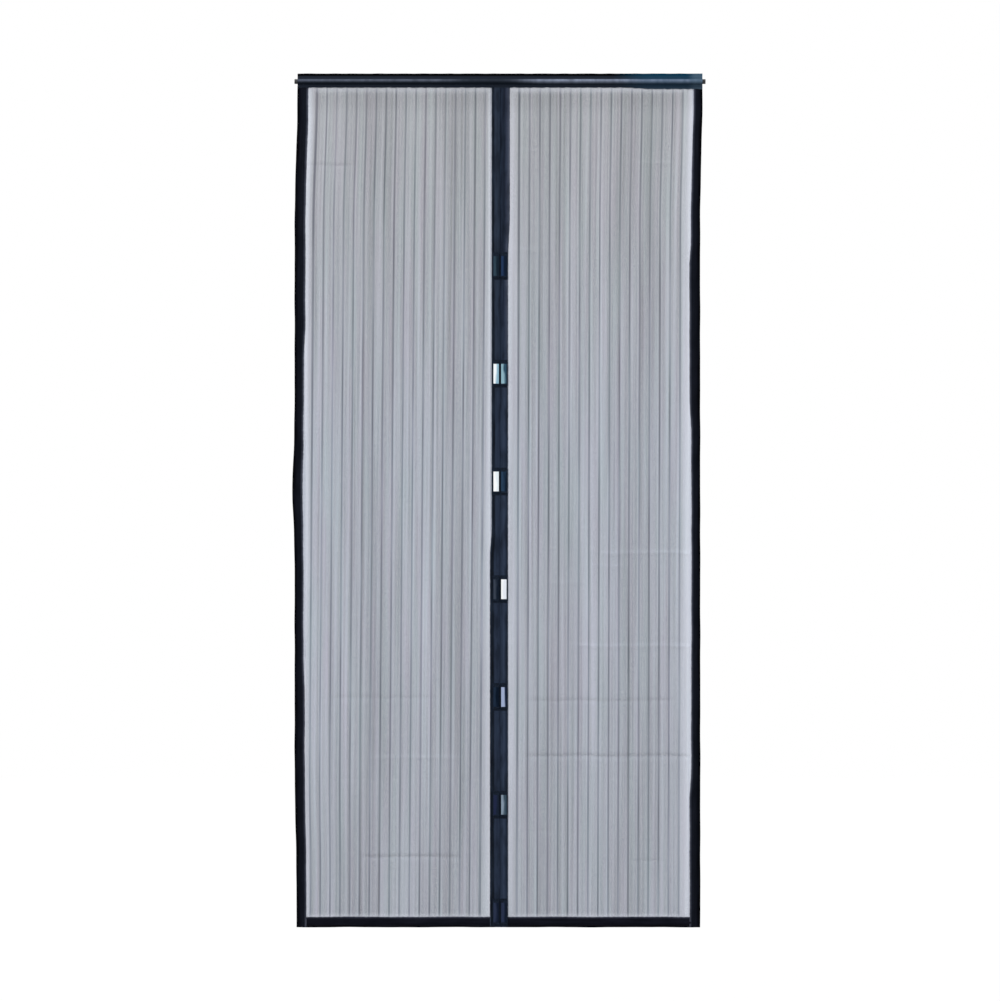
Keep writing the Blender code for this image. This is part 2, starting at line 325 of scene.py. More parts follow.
def make_net(side_name, side):
    columns, rows = net_columns(side), net_rows(side)

    def lay(u, v):
        free = smooth((NET_HIGH.z - 0.05 - v) / 0.04)
        flutter = 0.35 * MM * ripples(u, 0.012, 3.0) * free
        bow = 1.8 * MM * ripples(u, 0.17, 2.0 + side) * free * smooth((v - NET_LOW.z - 0.05) / 0.1)
        depth = flutter - CREASE_DEPTH * crease(side, u, v)[0]
        return hang(np.column_stack([u + stray(side, u, v), depth, v + bow]))

    net = strip_of_cloth(f"hung_net_{side_name}", columns, rows, lay)
    # the crease attribute holds the painted light and shade along the creases
    crease_shading = net.data.attributes.new("crease", "FLOAT", "POINT")
    u, v = np.tile(columns, len(rows)), np.repeat(rows, len(columns))
    crease_shading.data.foreach_set("value", crease(side, u, v)[1].astype(np.float32))
    from_stripe = np.abs(u[:, None] - stripe_places(side)[None, :]).min(axis=1)
    crest = net.vertex_groups.new(name="stripe")
    crest.add([int(number) for number in np.flatnonzero(from_stripe < 0.1 * MM)], 1.0, "REPLACE")
    ridge = NET_HIGH.y - NET_LOW.y
    thinner = {"vertex_group": crest.name, "thickness_vertex_group": NET_CLOTH / ridge}
    finish_with(net, "SOLIDIFY", thickness=ridge, offset=0.0, **thinner)
    net.vertex_groups.clear()
    bpy.ops.object.shade_smooth_by_angle(angle=math.radians(35))
    return net


nets = {side_name: make_net(side_name, side) for side_name, side in SIDES}
print("a net panel has", len(nets["left"].data.polygons), "faces")

# %% [markdown]
# ## Folded tapes
#
# A binding is a woven tape folded in half over the edge of the net and sewn through. Its section
# is a narrow U: a front leaf, a round fold and a back leaf. The strip is laid along that section,
# and ripples draw its free edges in where the stitches hold it. A tape folded by hand is never
# folded quite in half, so where its front leaf is wide its back leaf is narrow.

# %% Sections of folded tape
def turn_round(middle, radius, start, end, count):
    angles = np.linspace(math.radians(start), math.radians(end), count)
    return [(middle[0] + radius * math.cos(a), middle[1] + radius * math.sin(a)) for a in angles]


def binding_section(width):
    """Points of the U, as out from the fold and depth, from the front leaf to the back one."""
    leaf = list(steps(width, FOLD_RADIUS, 3.2 * MM))[:-1]
    front = [(out, -FOLD_RADIUS) for out in leaf]
    fold = turn_round((FOLD_RADIUS, 0.0), FOLD_RADIUS, 270, 90, 7)
    return np.array(front + fold + [(out, -depth) for out, depth in front[::-1]])


def flat_places(section):
    """How far along the flat tape each point of its section lies."""
    lengths = np.linalg.norm(np.diff(section, axis=0), axis=1)
    return np.concatenate([[0.0], np.cumsum(lengths)])


def on_section(section, u):
    """The two coordinates of the points that lie `u` along the flat tape."""
    flat = flat_places(section)
    return np.interp(u, flat, section[:, 0]), np.interp(u, flat, section[:, 1])


def tape_of(name, across, along, lay):
    """A strip with the thickness and the soft edges of tape."""
    tape = strip_of_cloth(name, across, along, lay)
    finish_with(tape, "SOLIDIFY", thickness=TAPE_CLOTH, offset=0.0)
    bpy.ops.object.shade_smooth_by_angle(angle=math.radians(50))
    return tape


print("20 mm of binding takes", round(flat_places(binding_section(20 * MM))[-1] / MM, 1), "mm of tape")

# %% Upright and level bindings
UNDER_HEM = 5 * MM  # the upright tapes run up between the leaves of the sleeve's hem
UNDER_TAPE = 6 * MM  # and the bottom ones run in between the leaves of the upright tapes
BOTTOM_WIDER = 1.6 * MM
cut_sizes = {}  # width and length of each tape before it was folded


def make_upright_binding(name, box, fold, leaves, seed, wider):
    """A binding whose fold is at X = fold and whose leaves run to +X or, at -1, to -X. From the
    height, `wider` gives how much wider than the solid the front leaf is."""
    low, high = box
    section = binding_section(high.x - low.x)
    flat = flat_places(section)
    rows = steps(low.z, high.z + UNDER_HEM, 5.5 * MM)
    mean = float(np.mean(wider(rows)))
    cut_sizes[name] = (float(flat[-1]) + 2 * mean, float(rows[-1] - rows[0]))

    def lay(u, v):
        out, depth = on_section(section, u)
        free = smooth(out / (high.x - low.x))
        reach = np.where(depth < 0, wider(v), 2 * mean - wider(v))
        out += (reach + 0.45 * MM * ripples(v, 0.011, seed)) * free
        depth *= 1 + 0.10 * ripples(v, 0.017, seed + depth[0]) * free
        at_seam = abs(fold) < OPEN_FROM_SEAM
        edge = fold if at_seam else fold + 0.5 * MM * ripples(v, 0.16, seed + 1)
        return hang(np.column_stack([edge + leaves * out, depth, v]))

    return tape_of(name, flat, rows, lay)


def make_bottom_binding(name, box, seed):
    low, high = box
    section = binding_section(high.z - low.z)
    flat = flat_places(section)
    places = steps(low.x - UNDER_TAPE, high.x + UNDER_TAPE, 4 * MM)
    cut_sizes[name] = (float(flat[-1]) + 2 * BOTTOM_WIDER, float(places[-1] - places[0]))

    def lay(u, v):
        out, depth = on_section(section, u)
        free = smooth(out / (high.z - low.z))
        out += (BOTTOM_WIDER + 0.5 * MM * ripples(v, 0.012, seed)) * free
        depth *= 1 + 0.12 * ripples(v, 0.021, seed + 2) * free
        to_end = np.minimum(v - low.x, high.x - v)
        depth *= 0.45 + 0.55 * smooth((to_end + 1 * MM) / (4 * MM))
        return hang(np.column_stack([v, depth, low.z + out]))

    return tape_of(name, flat, places, lay)


SEAM_FOLD = TAPE_CLOTH / 2 - 0.01 * MM  # the magnets draw the two middle tapes together
SIDE_REACH = {
    # of the left and of the right side tape: heights in metres, and millimetres more in front
    -1: (
        (-2.08, -1.75, -1.50, -1.42, -1.00, -0.68, -0.60, -0.03),
        (4.2, 5.0, 4.8, 1.4, 1.2, 2.6, 6.3, 6.8),
    ),
    1: (
        (-2.08, -1.76, -1.70, -1.25, -1.00, -0.85, -0.78, -0.45, -0.40, -0.03),
        (6.0, 6.2, 2.4, 1.4, 1.4, 2.4, 6.0, 6.4, 3.0, 1.6),
    ),
}


def side_reach(side):
    heights, reach = SIDE_REACH[side]
    return lambda v: np.interp(v, heights, reach) * MM


CENTRE_REACH = {
    -1: lambda v: -0.6 * MM + 4.2 * MM * smooth((-1.10 - v) / 0.07),
    1: lambda v: -1.8 * MM + 4.8 * MM * smooth((v + 0.46) / 0.14),
}
tapes = {}
for side_name, side in SIDES:
    for kind, fold, leaves, seed, wider in (
        ("side", side * OUTER_EDGE, -side, side, side_reach(side)),
        ("centre", side * SEAM_FOLD, side, side + 5, CENTRE_REACH[side]),
    ):
        node, name = f"{kind}_binding_{side_name}", f"{kind}_tape_{side_name}"
        tapes[node] = make_upright_binding(name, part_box(node), fold, leaves, seed, wider)
    node = f"bottom_binding_{side_name}"
    tapes[node] = make_bottom_binding(f"bottom_tape_{side_name}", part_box(node), side + 9)
for name, (width, length) in cut_sizes.items():
    print(name, "was cut", round(width / MM, 1), "mm wide and", round(length, 3), "m long")

# %% [markdown]
# ## The sleeve
#
# One wide tape is folded over the rod. Above the rod its two leaves are sewn flat into a heading,
# round the rod they make the pocket, and below it they hang over the top edge of both panels as a
# hem. The section runs from the front hem over the heading to the back one.

# %% The sleeve's section
ROD_POCKET = SLEEVE_HIGH.y - 0.3 * MM
HEADING_HALF = 0.33 * MM
HEADING_TOP = SLEEVE_HIGH.z - 0.3 * MM
HEM_OPENING = 0.6 * MM


def sleeve_section():
    """Depth and height, from the lower edge of the front hem, over the top, to that of the back."""
    heights = steps(HEM_BOTTOM, -ROD_POCKET - 1.6 * MM, 1.9 * MM)
    opening = smooth((heights[-1] - heights) / (3 * MM))
    hem = list(zip(-FOLD_RADIUS - HEM_OPENING * opening, heights))
    pocket = turn_round((0.0, 0.0), ROD_POCKET, 252, 108, 15)
    heights = steps(ROD_POCKET + 2.0 * MM, HEADING_TOP - 0.5 * MM, 2.4 * MM)
    front = hem + pocket + [(-HEADING_HALF, height) for height in heights]
    fold = turn_round((0.0, HEADING_TOP - HEADING_HALF), HEADING_HALF, 160, 20, 5)
    return np.array(front + fold + [(-depth, z) for depth, z in front[::-1]])


# %% The sleeve
def lay_sleeve(u, v):
    depth, height = on_section(sleeve_section(), u)
    above = smooth((height - ROD_POCKET) / 0.012)
    below = smooth((-ROD_POCKET - height) / 0.008)
    round_rod = (1 - above) * (1 - below)
    depth += above * (0.7 * MM * ripples(v, 0.083, 1.0) + 0.25 * MM * ripples(v, 0.021, 2.0))
    height += above * 0.25 * MM * ripples(v, 0.057, 4.0)
    height += below * (0.7 * MM * ripples(v, 0.026, 5.0) + 0.3 * MM * ripples(v, 0.009, 6.0))
    height += below * (1.2 * MM - 3.6 * MM * smooth((v - 0.30) / 0.08))
    depth *= 1 + below * 0.16 * (1 + ripples(v, 0.019, 7.0))
    depth *= 1 + round_rod * 0.012 * ripples(v, 0.031, 8.0)
    return np.column_stack([v, depth, height])


sleeve_flat = flat_places(sleeve_section())
sleeve_columns = steps(SLEEVE_LOW.x, SLEEVE_HIGH.x, 3.0 * MM)
sleeve = tape_of("rod_sleeve", sleeve_flat, sleeve_columns, lay_sleeve)
print("the sleeve was cut", round(sleeve_flat[-1] / MM), "mm wide")

# %% [markdown]
# ## Magnet pockets
#
# Each magnet sits in a little formed pocket: a patch of tape that rises round the bar and folds over
# its edges, with a window in front. It is modelled once, as a plane that is inset, raised, inset
# again and opened, and then copied to its fourteen places.

# %% One magnet pocket
POCKET_SIZE = POCKET_HIGH - POCKET_LOW
MAGNET_SIZE = MAGNET_HIGH - MAGNET_LOW
POCKET_RISE = POCKET_SIZE.y - 0.6 * MM
POCKET_FLANGE = 0.6 * MM
POCKET_LIP = 1.6 * MM
WINDOW_HEIGHT = 48.5 * MM
WINDOW_SHIFT = 1.4 * MM
POCKET_SLOPE = 2.0 * MM


def stretch(share):
    """Makes what is selected taller about its own middle."""
    bpy.ops.transform.resize(value=(1.0, 1.0, share))


def model_pocket():
    deselect()
    bpy.ops.mesh.primitive_plane_add(size=1.0, rotation=(math.pi / 2, 0.0, 0.0))
    pocket = bpy.context.object
    pocket.scale = (POCKET_SIZE.x, POCKET_SIZE.z, 1.0)
    bpy.ops.object.transform_apply(location=True, rotation=True, scale=True)
    bpy.ops.object.mode_set(mode="EDIT")
    bpy.ops.mesh.select_all(action="SELECT")
    bpy.ops.mesh.inset(thickness=POCKET_FLANGE, depth=0.0)
    flange_height = POCKET_SIZE.z - 2 * POCKET_FLANGE
    top_height = MAGNET_SIZE.z + 2 * 0.9 * MM
    stretch((top_height + 2 * POCKET_SLOPE) / flange_height)
    bpy.ops.mesh.extrude_region_move(TRANSFORM_OT_translate={"value": (0.0, -POCKET_RISE, 0.0)})
    stretch(top_height / (top_height + 2 * POCKET_SLOPE))
    bpy.ops.mesh.inset(thickness=POCKET_LIP, depth=0.0)
    stretch(WINDOW_HEIGHT / (top_height - 2 * POCKET_LIP))
    bpy.ops.mesh.delete(type="ONLY_FACE")
    bpy.ops.mesh.select_all(action="SELECT")
    bpy.ops.mesh.subdivide(number_cuts=3)
    bpy.ops.object.mode_set(mode="OBJECT")
    angle = math.radians(30)
    finish_with(pocket, "BEVEL", width=0.6 * MM, segments=2, limit_method="ANGLE", angle_limit=angle)
    finish_with(pocket, "SOLIDIFY", thickness=TAPE_CLOTH, offset=-1.0, use_even_offset=True)
    bpy.ops.object.shade_smooth_by_angle(angle=math.radians(45))
    return pocket


pocket_model = model_pocket()
print("a pocket has", len(pocket_model.data.polygons), "faces")

# %% Fourteen pockets
POCKET_FACE = POCKET_HIGH.y - TAPE_CLOTH


def make_pocket(node, side, seed):
    low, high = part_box(node)
    pocket = pocket_model.copy()
    pocket.data = pocket_model.data.copy()
    pocket.name = node.replace("magnet_pocket", "pocket_cloth")
    pocket.data.name = pocket.name
    bpy.context.scene.collection.objects.link(pocket)
    points = points_of(pocket)
    points[:, 0] -= side * WINDOW_SHIFT * (1 - (2 * points[:, 0] / POCKET_SIZE.x) ** 2)
    points[:, 0] += 0.12 * MM * ripples(points[:, 2], 0.016, seed)
    points[:, 1] += POCKET_FACE + 0.10 * MM * ripples(points[:, 2], 0.011, seed + 2)
    points[:, 2] += 0.15 * MM * ripples(points[:, 0], 0.009, seed + 4)
    points[:, 0] += (low.x + high.x) / 2
    points[:, 2] += (low.z + high.z) / 2
    set_points(pocket, points)
    return pocket


pockets = {}
for side_name, side in SIDES:
    for number in PAIRS:
        node = f"magnet_pocket_{side_name}_{number}"
        pockets[node] = make_pocket(node, side, number + 0.4 * side)
bpy.data.objects.remove(pocket_model)
print(len(pockets), "pockets")

# %% [markdown]
# ## Stitching
#
# Lockstitch shows as a row of short raised dashes. One dash is a small sphere of few faces, drawn
# out along the seam. An Array modifier repeats it every 4 mm, and the row then goes through the
# same function as the cloth.

# %% The helper that sews a line
STITCH_PITCH = 4.0 * MM
STITCH_LENGTH = 3.0 * MM
THREAD = 0.55 * MM
seams = {}


def sew(start, end, pitch=STITCH_PITCH):
    """A row of dashes from start to end, in the frame, on cloth that is still flat."""
    start, end = Vector(start), Vector(end)
    run = end - start
    count = max(1, int(run.length / pitch))
    deselect()
    bpy.ops.mesh.primitive_uv_sphere_add(segments=6, ring_count=4, radius=0.5)
    row = bpy.context.object
    upright = abs(run.z) > abs(run.x)
    length = STITCH_LENGTH * pitch / STITCH_PITCH
    row.scale = (THREAD, THREAD, length) if upright else (length, THREAD, THREAD)
    bpy.ops.object.transform_apply(location=True, rotation=True, scale=True)
    step = run / count
    spacing = {"use_relative_offset": False, "use_constant_offset": True}
    finish_with(row, "ARRAY", count=count, constant_offset_displace=step, **spacing)
    set_points(row, points_of(row) + np.array(start + step / 2))
    return row


def seam(name, rows, hangs=True):
    """Joins rows of dashes into one piece, and keeps it in `seams`."""
    only(rows[0])
    for row in rows:
        row.select_set(True)
    bpy.ops.object.join()
    piece = bpy.context.object
    piece.name = name
    piece.data.name = name
    if hangs:
        set_points(piece, hang(points_of(piece)))
    bpy.ops.object.shade_smooth()
    seams[name] = piece


# %% Stitching of the bindings
TAPE_FACE = FOLD_RADIUS + TAPE_CLOTH / 2 + 0.08 * MM
IN_FROM_EDGE = 3.0 * MM
UP_FROM_FOLD = 5.5 * MM


def both_faces(start, end):
    """The same row on the front and on the back of a tape."""
    faces = (-TAPE_FACE, TAPE_FACE)
    return [sew((start[0], face, start[1]), (end[0], face, end[1])) for face in faces]


for side_name, side in SIDES:
    for kind, place in (
        ("side", OPEN_TO_SIDE + IN_FROM_EDGE),
        ("centre", OPEN_FROM_SEAM - IN_FROM_EDGE),
    ):
        ends = (side * place, SIDE_LOW.z + 1 * MM), (side * place, SIDE_HIGH.z)
        seam(f"{kind}_stitching_{side_name}", both_faces(*ends))
    low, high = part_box(f"bottom_binding_{side_name}")
    rows = []
    for height in (high.z - IN_FROM_EDGE, low.z + UP_FROM_FOLD):
        rows += both_faces((low.x, height), (high.x, height))
    seam(f"bottom_stitching_{side_name}", rows)
print(len(seams), "seams hold the bindings")

# %% Stitching of the sleeve and the pockets
HEADING_FACE = HEADING_HALF + TAPE_CLOTH / 2 + 0.1 * MM
sleeve_rows = []
for face in (-1, 1):
    for height, depth in (
        (ROD_POCKET + 2.6 * MM, HEADING_FACE),
        (-ROD_POCKET - 1.9 * MM, TAPE_FACE + 0.1 * MM),
        (HEM_BOTTOM + IN_FROM_EDGE, TAPE_FACE + HEM_OPENING + 0.25 * MM),
    ):
        start = (SLEEVE_LOW.x + 1 * MM, face * depth, height)
        end = (SLEEVE_HIGH.x - 1 * MM, face * depth, height)
        sleeve_rows.append(sew(start, end))
seam("sleeve_stitching", sleeve_rows, hangs=False)

TACK_FROM_MIDDLE = 41 * MM
TACK_PITCH = 2.6 * MM
FLANGE_FACE = POCKET_FACE - 0.1 * MM
for side_name, _side in SIDES:
    rows = []
    for number in PAIRS:
        low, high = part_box(f"magnet_pocket_{side_name}_{number}")
        middle = (low.z + high.z) / 2
        for height, depth in (
            (high.z - 1.6 * MM, FLANGE_FACE),
            (low.z + 1.6 * MM, FLANGE_FACE),
            (middle + TACK_FROM_MIDDLE, -TAPE_FACE),
            (middle - TACK_FROM_MIDDLE, -TAPE_FACE),
        ):
            if height > SCREEN_BOTTOM:
                ends = (low.x + 1 * MM, depth, height), (high.x - 1 * MM, depth, height)
                rows.append(sew(*ends, TACK_PITCH))
    seam(f"pocket_stitching_{side_name}", rows, hangs=False)
print(len(seams), "seams with", sum(len(piece.data.polygons) for piece in seams.values()), "faces")

# %% [markdown]
# ## Materials
#
# One function turns an sRGB hex colour into the linear numbers that a shader works in, one feeds
# the sockets of a node, and one adds a node with its settings and links.

# %% Helpers for materials
def linear(hex_colour):
    """The linear colour of an sRGB hex value such as "8A929E"."""
    shares = [int(hex_colour[place:place + 2], 16) / 255 for place in (0, 2, 4)]
    return (*[s / 12.92 if s <= 0.04045 else ((s + 0.055) / 1.055) ** 2.4 for s in shares], 1.0)


def feed(node, inputs):
    """Gives each socket of a node a value, a hex colour, or the node or output that feeds it.
    `inputs` is a dict of sockets, or a row of values from the first socket on."""
    for socket, value in inputs.items() if isinstance(inputs, dict) else enumerate(inputs):
        if isinstance(value, bpy.types.Node):
            value = next(output for output in value.outputs if output.enabled)
        if isinstance(value, bpy.types.NodeSocket):
            node.id_data.links.new(value, node.inputs[socket])
        else:
            node.inputs[socket].default_value = linear(value) if isinstance(value, str) else value


def add(tree, kind, inputs=(), stops=(), **settings):
    """Adds a node. `stops` gives a colour ramp its places and hex colours."""
    node = tree.nodes.new("ShaderNode" + kind)
    for name, value in settings.items():
        setattr(node, name, value)
    feed(node, inputs)
    for number, (place, colour) in enumerate(stops):
        elements = node.color_ramp.elements
        element = elements[number] if number < 2 else elements.new(place)
        element.position = place
        element.color = linear(colour)
    return node


RGBA = {"data_type": "RGBA"}  # makes a Mix node mix colours
SOFT = {"interpolation_type": "SMOOTHSTEP"}  # gives a Map Range soft ends
TIMES = {"operation": "MULTIPLY"}
SHINE = "Specular IOR Level"


def new_material(name):
    """A material with nothing in it but its Principled shader."""
    material = bpy.data.materials.new(name)
    material.use_nodes = True
    return material, material.node_tree, material.node_tree.nodes["Principled BSDF"]


def grained_material(name, scale, detail):
    """A new material, with a fine grain that keeps its place on the piece."""
    material, tree, shader = new_material(name)
    place = add(tree, "TexCoord").outputs["Object"]
    grain = add(tree, "TexNoise", {"Vector": place, "Scale": scale, "Detail": detail})
    return material, tree, shader, grain


def wear(piece, material):
    """Gives a piece its material in place of what it had."""
    piece.data.materials.clear()
    piece.data.materials.append(material)


# %% [markdown]
# ### Net of polyester yarn
#
# The net is knitted from fine grey-blue polyester, with a stripe of darker, closed yarn every 25 mm.
# Its real threads lie about 1 mm apart and are drawn a little coarser, so that they show up close.
# From where the camera stands a hole is smaller than a pixel, so the eye sees a grey veil with
# streaks. The streaks are a noise stretched along the net: the yarn is never equally thick.

# %% The net's material
THREAD_PITCH = 1.4 * MM
THREAD_BLUR = 0.1 * MM
HOLE_SHARE = 0.40
STRIPE_CORE, STRIPE_FADE = 0.6 * MM, 3.0 * MM  # a stripe fades between these, from its middle
WAVE_TURN = 2 * math.pi / 20  # a Wave texture of scale 1 repeats after this length
# spacing of the painted light and shade of the folds, and where a painted bright band lies
FOLD_LIGHT_PITCH, FOLD_LIGHT_CREST = 0.2175, -0.211
CREASE_SHADING_STRENGTH = 0.17
HEM_SHADE, FOOT_SHADE = 0.85, 0.945


def net_material(name, side, rims, top_most):
    """`rims` gives how wide the pale net is beside the left and the right tape, and how pale it
    is. `top_most` is how pale it is under the hem."""
    material, tree, shader = new_material(name)
    cloth = add(tree, "UVMap", uv_map="cloth")
    flat = add(tree, "SeparateXYZ", (cloth,))
    across, along = flat.outputs["X"], flat.outputs["Y"]
    first_stripe = float(stripe_places(side)[0])
    left_edge, right_edge = sorted((side * OPEN_FROM_SEAM, side * OPEN_TO_SIDE))

    # Threads that cross, and the closed stripes between them
    half = THREAD_PITCH / 2
    covered = half * (1 - HOLE_SHARE)
    threads = []
    for direction in (across, along):
        from_thread = add(tree, "Math", (direction, half), operation="PINGPONG")
        edge = (from_thread, covered - THREAD_BLUR, covered + THREAD_BLUR, 1.0, 0.0)
        threads.append(add(tree, "MapRange", edge))
    shifted = add(tree, "Math", (across, first_stripe), operation="SUBTRACT")
    from_stripe = add(tree, "Math", (shifted, STRIPE_PITCH / 2), operation="PINGPONG")
    fade = (from_stripe, STRIPE_CORE, STRIPE_FADE, 1.0, 0.0)
    stripe = add(tree, "MapRange", fade, **SOFT)
    crossing = add(tree, "Math", threads, operation="MAXIMUM")
    thread = add(tree, "Math", (crossing, stripe), operation="MAXIMUM")

    # Streaks of thicker and thinner yarn, and broad soft bands of painted light and shade at the folds
    place = add(tree, "Mapping", {"Vector": cloth, "Scale": (130.0, 1.1, 1.0)})
    streaks = {"Vector": place, "Scale": 1.0, "Detail": 2.0, "Roughness": 0.6}
    streaks = add(tree, "TexNoise", streaks)
    crest = (math.pi - 2 * math.pi * FOLD_LIGHT_CREST / FOLD_LIGHT_PITCH) % (2 * math.pi)
    painted_fold_light = {"Vector": cloth, "Scale": WAVE_TURN / FOLD_LIGHT_PITCH, "Distortion": 0.5, "Detail Scale": 2.0}
    painted_fold_light = add(tree, "TexWave", {**painted_fold_light, "Phase Offset": crest})
    fold_light_share = add(tree, "Math", (painted_fold_light, 0.22), **TIMES)
    streak_share = add(tree, "MapRange", (streaks, 0.3, 0.7, 0.0, 0.62))
    paleness = add(tree, "Math", (fold_light_share, streak_share), operation="ADD")
    lower = add(tree, "MapRange", (along, -0.1, -0.9))
    grey = add(tree, "ValToRGB", (paleness,), stops=((0.0, "7A7C80"), (1.0, "B2B5BA")))
    blue = add(tree, "ValToRGB", (paleness,), stops=((0.0, "81858D"), (1.0, "BAC0CC")))
    yarn = add(tree, "Mix", {"Factor": lower, 6: grey, 7: blue}, **RGBA)

    # Stripes are strong in some places and weak in others
    place = add(tree, "Mapping", {"Vector": cloth, "Scale": (38.0, 3.2, 1.0)})
    strength = add(tree, "TexNoise", {"Vector": place, "Scale": 1.0, "Detail": 2.0})
    strength = add(tree, "MapRange", (strength, 0.3, 0.7, 0.1, 0.68))
    drawn = add(tree, "Math", (stripe, strength), **TIMES)
    striped = add(tree, "Mix", {"Factor": drawn, 6: yarn, 7: "555962"}, **RGBA)

    # No two reels of yarn are dyed quite alike: some look greener and some more violet
    place = {"Vector": cloth, "Location": (2.0, 5.0, 0.0), "Scale": (55.0, 2.4, 1.0)}
    place = add(tree, "Mapping", place)
    reels = add(tree, "TexNoise", {"Vector": place, "Scale": 1.0, "Detail": 2.0})
    dye = add(tree, "ValToRGB", (reels,), stops=((0.3, "F7FFFD"), (0.7, "FFF9FF")))
    base_tint = add(tree, "Mix", {"Factor": 1.0, 6: striped, 7: dye}, blend_type="MULTIPLY", **RGBA)

    # Near the tapes the net is drawn tight and pale
    rim = 0.0
    (left_width, left_most), (right_width, right_most) = rims
    for place, edge, width, most in (
        (across, left_edge, left_width, left_most),
        (across, right_edge, -right_width, right_most),
        (along, HEM_BOTTOM, -18 * MM, top_most),
        (along, BOTTOM_HIGH.z, 14 * MM, 0.4),
    ):
        near = (place, edge, edge + width, most, 0.0)
        near = add(tree, "MapRange", near, **SOFT)
        rim = add(tree, "Math", (rim, near), operation="MAXIMUM")
    rimmed = add(tree, "Mix", {"Factor": rim, 6: base_tint, 7: "E0E4F0"}, **RGBA)

    # Painted light and shade along the creases, a little painted shade under the hem, and painted
    # shade that grows towards the foot
    painted_crease_shading = add(tree, "Attribute", attribute_name="crease").outputs["Fac"]
    crease_shading = add(tree, "MapRange", (painted_crease_shading, -1.0, 1.0, 1 - CREASE_SHADING_STRENGTH, 1 + CREASE_SHADING_STRENGTH), clamp=False)
    shade = (along, HEM_BOTTOM - 0.075, HEM_BOTTOM - 0.025, 1.0, HEM_SHADE)
    shade = add(tree, "MapRange", shade, **SOFT)
    # painted shade, darker towards the foot of the net
    painted_low_shade = add(tree, "MapRange", (along, -1.35, -1.85, 1.0, FOOT_SHADE))
    light = add(tree, "Math", (crease_shading, shade), **TIMES)
    light = add(tree, "Math", (light, painted_low_shade), **TIMES)
    colour = add(tree, "Mix", {"Factor": 1.0, 6: rimmed, 7: light}, blend_type="MULTIPLY", **RGBA)
    feed(shader, {"Base Color": colour, "Roughness": 0.75, SHINE: 0.15})
    shown = add(tree, "MixShader", (thread, add(tree, "BsdfTransparent"), shader))
    feed(tree.nodes["Material Output"], {"Surface": shown})
    return material


wear(nets["left"], net_material("knitted_net_left", -1, ((17 * MM, 0.7), (14 * MM, 0.5)), 0.3))
wear(nets["right"], net_material("knitted_net_right", 1, ((16 * MM, 0.28), (48 * MM, 0.95)), 0.42))
print("threads", THREAD_PITCH / MM, "mm apart; holes cover", round(HOLE_SHARE ** 2, 2), "of the net")

# %% [markdown]
# ### Woven polyester tape
#
# Binding tape is a flat ribbed weave, dyed blue-black. Its ribs run across the tape, about 1 mm
# apart, and give it a dull face. It is paler at its cut edges, with painted shade in the groove that
# the stitches pull and, on the outer tapes, at the fold. The shades follow the tape's own width on
# its UV map, so both leaves are shaded alike.
# The two middle tapes are painted bluer, as a painted sheen.

# %% The tapes' materials
RIB_PITCH = 1.6 * MM  # about 1 mm on the real tape, and drawn coarser so that it shows
TAPE_LOW_FROM, TAPE_LOW_TO = -0.45, -0.85


def tape_material(name, width, shades, low_shades, pale, shine, bolt):
    """`shades` are the colours from the cut edge, at 0, to the fold, at 1, near the top, and
    `low_shades` those further down; they hold painted shade in the stitch groove. `pale` is the
    colour of painted highlights on worn threads, and `bolt` gives the place on the bolt that the
    tape was cut from, so that no two carry the same patches."""
    material, tree, shader = new_material(name)
    cloth = add(tree, "UVMap", uv_map="cloth")
    flat = add(tree, "SeparateXYZ", (cloth,))
    to_fold = float(flat_places(binding_section(width))[-1]) / 2
    from_edge = add(tree, "Math", (flat.outputs["X"], to_fold), operation="PINGPONG")
    share = add(tree, "Math", (from_edge, to_fold), operation="DIVIDE")
    upper = add(tree, "ValToRGB", (share,), stops=shades)
    lower = add(tree, "ValToRGB", (share,), stops=low_shades)
    down = add(tree, "MapRange", (flat.outputs["Y"], TAPE_LOW_FROM, TAPE_LOW_TO))
    colour = add(tree, "Mix", {"Factor": down, 6: upper, 7: lower}, **RGBA)
    for tint, scale, detail, spread in (
        # painted highlights on worn threads, then painted shade of puckers
        (pale, (190.0, 14.0, 1.0), 4.0, (0.42, 0.75, 0.0, 0.4)),
        ("05080F", (55.0, 16.0, 1.0), 2.0, (0.47, 0.67, 0.0, 0.45)),
    ):
        place = {"Vector": cloth, "Location": (bolt, bolt, 0.0), "Scale": scale}
        place = add(tree, "Mapping", place)
        patches = add(tree, "TexNoise", {"Vector": place, "Scale": 1.0, "Detail": detail})
        amount = add(tree, "MapRange", (patches, *spread))
        colour = add(tree, "Mix", {"Factor": amount, 6: colour, 7: tint}, **RGBA)
    ribs = {"Vector": cloth, "Scale": WAVE_TURN / RIB_PITCH}
    ribs = add(tree, "TexWave", ribs, bands_direction="Y")
    relief = add(tree, "Bump", {"Height": ribs, "Strength": 0.35, "Distance": 0.25 * MM})
    feed(shader, {"Base Color": colour, "Normal": relief, "Roughness": 0.7, SHINE: shine})
    return material


# from the cut edge, at 0, to the fold, at 1: painted shade in the stitch groove, and on the outer
# tapes at the fold
SIDE_SHADES = (
    (0.0, "5E616D"), (1.0, "000001"), (0.13, "363944"),
    (0.24, "12151D"), (0.62, "0C0E15"), (0.75, "010104"),
)
BOTTOM_SHADES = (
    (0.0, "646672"), (1.0, "010103"), (0.1, "282A36"),
    (0.24, "0D0E16"), (0.5, "11121B"), (0.75, "06060B"),
)
